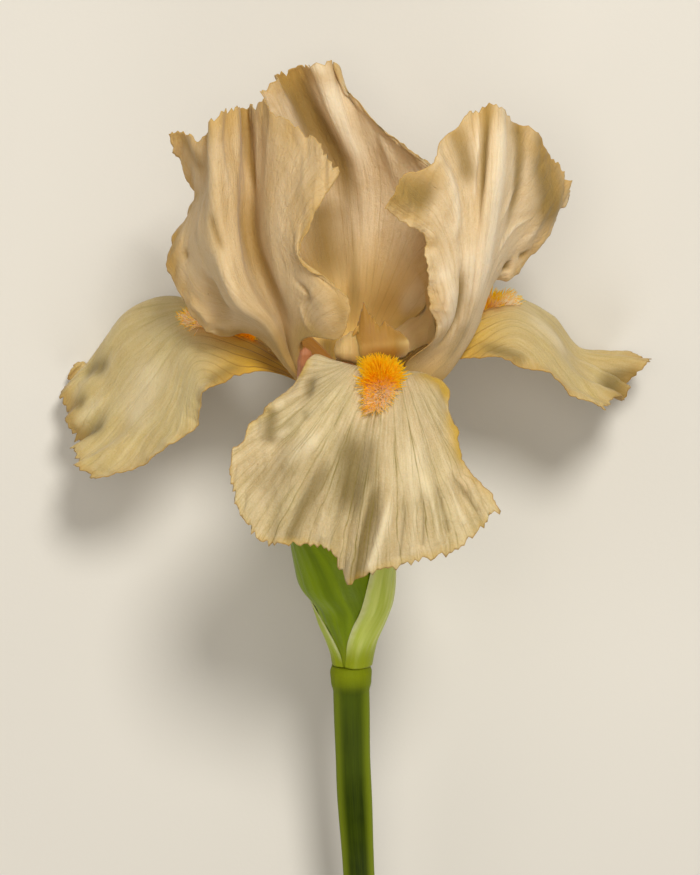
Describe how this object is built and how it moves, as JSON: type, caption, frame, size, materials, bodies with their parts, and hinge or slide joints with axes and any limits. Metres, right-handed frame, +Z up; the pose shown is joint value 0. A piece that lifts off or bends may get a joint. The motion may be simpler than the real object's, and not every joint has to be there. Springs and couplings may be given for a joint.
{
  "type": "iris flower",
  "caption": "Cut bearded iris lying front up: upright ruffled petals, hanging petals with hairy beards, a petal-like style, a leafy sheath with a rolled bud, and a length of stem.",
  "frame": {"origin": "bottom centre of the bounding box, on the surface that the flower lies on", "axes": "+Y along the stem from its cut end towards the bloom, +Z up from the surface, towards the flower's front, +X to the flower's right as it is seen from above"},
  "size_m": [0.155, 0.3506, 0.0958],
  "materials": {
    "standard": "soft matt petal, cream with tan shading and fine veins",
    "fall": "soft matt petal, grey-cream with olive veins and golden edges",
    "beard": "dense soft hairs, bright orange, paler at the foot",
    "tube": "smooth satin plant skin, pale yellow-green",
    "style": "satin petal-like tissue, pale gold",
    "stamen": "matt, cream with pollen",
    "bud": "satin rolled petals, cream-green turning pink at the tip",
    "bract": "satin ribbed leaf, yellow-green with a papery pale margin",
    "stem": "smooth satin plant skin with a faint bloom"
  },
  "bodies": {
    "root": {"standard_left": "standard", "standard_right": "standard", "standard_back": "standard", "fall_front": "fall", "fall_left": "fall", "fall_right": "fall", "beard_front": "beard", "beard_left": "beard", "beard_right": "beard", "perianth_tube": "tube", "style": "style", "stamen_front": "stamen", "stamen_left": "stamen", "stamen_right": "stamen", "bud": "bud", "bract_inner": "bract", "bract_left": "bract", "bract_right": "bract", "stem": "stem"}
  },
  "joints": []
}
